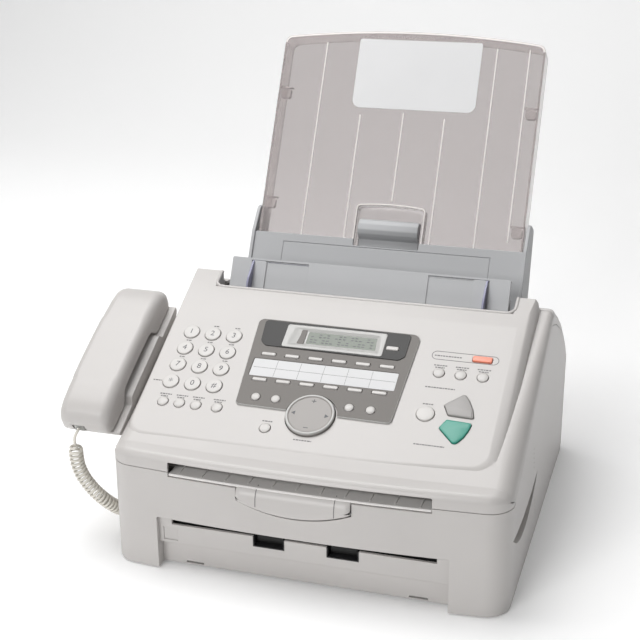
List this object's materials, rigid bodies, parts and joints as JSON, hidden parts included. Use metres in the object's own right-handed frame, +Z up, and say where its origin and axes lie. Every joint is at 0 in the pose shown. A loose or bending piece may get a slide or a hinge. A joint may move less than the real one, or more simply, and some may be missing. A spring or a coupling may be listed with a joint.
{
  "type": "fax machine",
  "caption": "Desktop laser fax machine with a corded handset on a side cradle, a sloping key panel on a lifting front cover, and an upright see-through paper tray.",
  "frame": {"origin": "on the surface that the machine stands on, under the middle of the box round the machine, its handset and its tray, leaving out the cord", "axes": "+X to the operator's right, front faces -Y, +Z up"},
  "size_m": [0.404, 0.4166, 0.4141],
  "materials": {
    "answer": "satin",
    "bezel": "metallic taupe paint",
    "board": "solder resist",
    "case": "fine moulded satin",
    "copy": "satin",
    "cord": "soft vinyl",
    "dark": "matt",
    "display": "gloss",
    "fax": "satin",
    "grey": "fine matt",
    "guide": "satin",
    "key": "satin",
    "lcd": "liquid crystal glass",
    "nav": "satin",
    "plug": "clear plastic",
    "rubber": "matt",
    "smoke": "tinted see-through plastic",
    "steel": "plated sheet"
  },
  "bodies": {
    "root": {"base_plate": "steel", "lower_cabinet": "case", "rear_cover": "case", "rubber_feet": "rubber", "case_screws": "steel", "handset_cradle": "case", "document_table": "grey", "paper_tray_base": "grey", "main_board": "board", "power_supply": "steel", "laser_unit": "dark", "toner_unit": "dark", "fuser_unit": "steel", "speaker": "dark", "ac_inlet": "dark", "modular_jacks": "dark", "hinge_brackets": "steel", "exit_panel": "case", "cord_coil": "cord", "cord_leads": "cord", "jack_plug": "plug"},
    "front_cover": {"front_cover": "case", "document_guide": "case", "panel_bezel": "bezel", "display_frame": "display", "lcd_window": "lcd", "panel_board": "board", "image_sensor": "dark"},
    "handset": {"handset_top": "case", "handset_base": "case", "handset_plug": "plug"},
    "paper_tray": {"paper_tray": "smoke"},
    "tension_plate": {"tension_plate": "grey"},
    "left_guide": {"left_guide": "guide"},
    "right_guide": {"right_guide": "guide"},
    "guide_pinion": {"guide_pinion": "key"},
    "exit_rollers": {"exit_rollers": "rubber"},
    "pickup_roller": {"pickup_roller": "rubber"},
    "feed_roller": {"feed_roller": "rubber"},
    "hook_switch": {"hook_switch": "key"},
    "key_1": {"key_1": "key"},
    "key_2": {"key_2": "key"},
    "key_3": {"key_3": "key"},
    "key_4": {"key_4": "key"},
    "key_5": {"key_5": "key"},
    "key_6": {"key_6": "key"},
    "key_7": {"key_7": "key"},
    "key_8": {"key_8": "key"},
    "key_9": {"key_9": "key"},
    "key_star": {"key_star": "key"},
    "key_0": {"key_0": "key"},
    "key_hash": {"key_hash": "key"},
    "navigator_key": {"navigator_key": "nav"},
    "stop_key": {"stop_key": "key"},
    "copy_start_key": {"copy_start_key": "copy"},
    "fax_start_key": {"fax_start_key": "fax"},
    "auto_answer_key": {"auto_answer_key": "answer"},
    "round_keys": {"round_keys": "key"},
    "station_keys": {"station_keys": "key"},
    "bezel_keys": {"bezel_keys": "key"}
  },
  "joints": [
    {"name": "cover_hinge", "type": "hinge", "parent": "root", "child": "front_cover", "pos_m": [0.027, 0.00317, 0.197], "axis": [-1, 0, 0], "range_deg": [0, 45]},
    {"name": "tray_slide", "type": "slide", "parent": "root", "child": "paper_tray", "axis": [0, 0.4802, 0.8771], "range_m": [0, 0.06]},
    {"name": "tension_hinge", "type": "hinge", "parent": "root", "child": "tension_plate", "pos_m": [0.027, 0.07189, 0.18547], "axis": [1, 0, 0], "range_deg": [0, 8], "stiffness_Nm_per_rad": 0.05, "springref_deg": -11.46},
    {"name": "left_guide_slide", "type": "slide", "parent": "root", "child": "left_guide", "axis": [1, 0, 0], "range_m": [0, 0.04]},
    {"name": "right_guide_slide", "type": "slide", "parent": "root", "child": "right_guide", "axis": [1, 0, 0], "range_m": [-0.04, 0]},
    {"name": "guide_pinion_spin", "type": "hinge", "parent": "root", "child": "guide_pinion", "pos_m": [0.027, 0.01634, 0.20887], "axis": [0, -0.8771, 0.4802], "range_deg": [-580, 10]},
    {"name": "exit_roller_spin", "type": "hinge", "parent": "root", "child": "exit_rollers", "pos_m": [0.027, -0.18233, 0.0405], "axis": [1, 0, 0], "continuous": true},
    {"name": "pickup_roller_spin", "type": "hinge", "parent": "root", "child": "pickup_roller", "pos_m": [0.027, 0.02839, 0.18306], "axis": [1, 0, 0], "continuous": true},
    {"name": "feed_roller_spin", "type": "hinge", "parent": "front_cover", "child": "feed_roller", "pos_m": [0.027, -0.03241, 0.16659], "axis": [1, 0, 0], "continuous": true},
    {"name": "handset_lift", "type": "slide", "parent": "root", "child": "handset", "axis": [0, -0.4648, 0.8854], "range_m": [0, 0.12]},
    {"name": "hook_travel", "type": "slide", "parent": "root", "child": "hook_switch", "axis": [0, -0.4648, 0.8854], "range_m": [0, 0.004]},
    {"name": "key_1_press", "type": "slide", "parent": "front_cover", "child": "key_1", "axis": [0, 0.4648, -0.8854], "range_m": [0, 0.001], "stiffness_N_per_m": 600, "springref_m": -0.0008},
    {"name": "key_2_press", "type": "slide", "parent": "front_cover", "child": "key_2", "axis": [0, 0.4648, -0.8854], "range_m": [0, 0.001], "stiffness_N_per_m": 600, "springref_m": -0.0008},
    {"name": "key_3_press", "type": "slide", "parent": "front_cover", "child": "key_3", "axis": [0, 0.4648, -0.8854], "range_m": [0, 0.001], "stiffness_N_per_m": 600, "springref_m": -0.0008},
    {"name": "key_4_press", "type": "slide", "parent": "front_cover", "child": "key_4", "axis": [0, 0.4648, -0.8854], "range_m": [0, 0.001], "stiffness_N_per_m": 600, "springref_m": -0.0008},
    {"name": "key_5_press", "type": "slide", "parent": "front_cover", "child": "key_5", "axis": [0, 0.4648, -0.8854], "range_m": [0, 0.001], "stiffness_N_per_m": 600, "springref_m": -0.0008},
    {"name": "key_6_press", "type": "slide", "parent": "front_cover", "child": "key_6", "axis": [0, 0.4648, -0.8854], "range_m": [0, 0.001], "stiffness_N_per_m": 600, "springref_m": -0.0008},
    {"name": "key_7_press", "type": "slide", "parent": "front_cover", "child": "key_7", "axis": [0, 0.4648, -0.8854], "range_m": [0, 0.001], "stiffness_N_per_m": 600, "springref_m": -0.0008},
    {"name": "key_8_press", "type": "slide", "parent": "front_cover", "child": "key_8", "axis": [0, 0.4648, -0.8854], "range_m": [0, 0.001], "stiffness_N_per_m": 600, "springref_m": -0.0008},
    {"name": "key_9_press", "type": "slide", "parent": "front_cover", "child": "key_9", "axis": [0, 0.4648, -0.8854], "range_m": [0, 0.001], "stiffness_N_per_m": 600, "springref_m": -0.0008},
    {"name": "key_star_press", "type": "slide", "parent": "front_cover", "child": "key_star", "axis": [0, 0.4648, -0.8854], "range_m": [0, 0.001], "stiffness_N_per_m": 600, "springref_m": -0.0008},
    {"name": "key_0_press", "type": "slide", "parent": "front_cover", "child": "key_0", "axis": [0, 0.4648, -0.8854], "range_m": [0, 0.001], "stiffness_N_per_m": 600, "springref_m": -0.0008},
    {"name": "key_hash_press", "type": "slide", "parent": "front_cover", "child": "key_hash", "axis": [0, 0.4648, -0.8854], "range_m": [0, 0.001], "stiffness_N_per_m": 600, "springref_m": -0.0008},
    {"name": "navigator_key_press", "type": "slide", "parent": "front_cover", "child": "navigator_key", "axis": [0, 0.4648, -0.8854], "range_m": [0, 0.001], "stiffness_N_per_m": 600, "springref_m": -0.0008},
    {"name": "stop_key_press", "type": "slide", "parent": "front_cover", "child": "stop_key", "axis": [0, 0.4648, -0.8854], "range_m": [0, 0.001], "stiffness_N_per_m": 600, "springref_m": -0.0008},
    {"name": "copy_start_key_press", "type": "slide", "parent": "front_cover", "child": "copy_start_key", "axis": [0, 0.4648, -0.8854], "range_m": [0, 0.001], "stiffness_N_per_m": 600, "springref_m": -0.0008},
    {"name": "fax_start_key_press", "type": "slide", "parent": "front_cover", "child": "fax_start_key", "axis": [0, 0.4648, -0.8854], "range_m": [0, 0.001], "stiffness_N_per_m": 600, "springref_m": -0.0008},
    {"name": "auto_answer_key_press", "type": "slide", "parent": "front_cover", "child": "auto_answer_key", "axis": [0, 0.4648, -0.8854], "range_m": [0, 0.001], "stiffness_N_per_m": 600, "springref_m": -0.0008},
    {"name": "round_keys_press", "type": "slide", "parent": "front_cover", "child": "round_keys", "axis": [0, 0.4648, -0.8854], "range_m": [0, 0.001], "stiffness_N_per_m": 600, "springref_m": -0.0008},
    {"name": "station_keys_press", "type": "slide", "parent": "front_cover", "child": "station_keys", "axis": [0, 0.4648, -0.8854], "range_m": [0, 0.001], "stiffness_N_per_m": 600, "springref_m": -0.0008},
    {"name": "bezel_keys_press", "type": "slide", "parent": "front_cover", "child": "bezel_keys", "axis": [0, 0.4648, -0.8854], "range_m": [0, 0.001], "stiffness_N_per_m": 600, "springref_m": -0.0008}
  ],
  "couplings": [
    {"joint": "right_guide_slide", "follows": "left_guide_slide", "ratio": -1},
    {"joint": "guide_pinion_spin", "follows": "left_guide_slide", "rad_per_m": -250},
    {"joint": "hook_travel", "follows": "handset_lift", "ratio": 0.033333}
  ]
}
